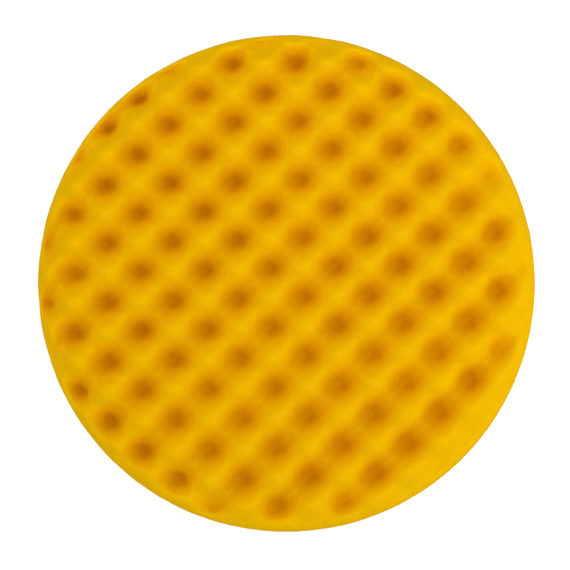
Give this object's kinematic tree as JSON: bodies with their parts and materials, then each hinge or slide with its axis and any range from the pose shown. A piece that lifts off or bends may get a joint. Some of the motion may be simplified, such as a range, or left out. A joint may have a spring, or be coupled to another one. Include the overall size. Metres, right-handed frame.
{
  "type": "polishing pad",
  "caption": "Round foam polishing pad with a convoluted waffle face, a rounded front edge and a loop-cloth back that grips a hook-faced backing plate.",
  "frame": {"origin": "centre of the back, in the plane of the loop tips", "axes": "+Z along the disc's axis, out of the waffle working face; the rows of dimples run nearly along X"},
  "size_m": [0.15, 0.15, 0.03],
  "materials": {
    "yellow_foam": "matt open-cell polyurethane foam, deep yellow, orange in the dimples",
    "loop_nylon": "brushed nylon loop pile, mid grey, soft sheen",
    "ground_cloth": "fine knitted nylon ground, dark grey",
    "hot_melt_film": "thin translucent hot-melt adhesive, pale amber, satin"
  },
  "bodies": {
    "root": {"loop_pile": "loop_nylon", "backing_fabric": "ground_cloth", "adhesive_film": "hot_melt_film", "foam_body": "yellow_foam"}
  },
  "joints": []
}
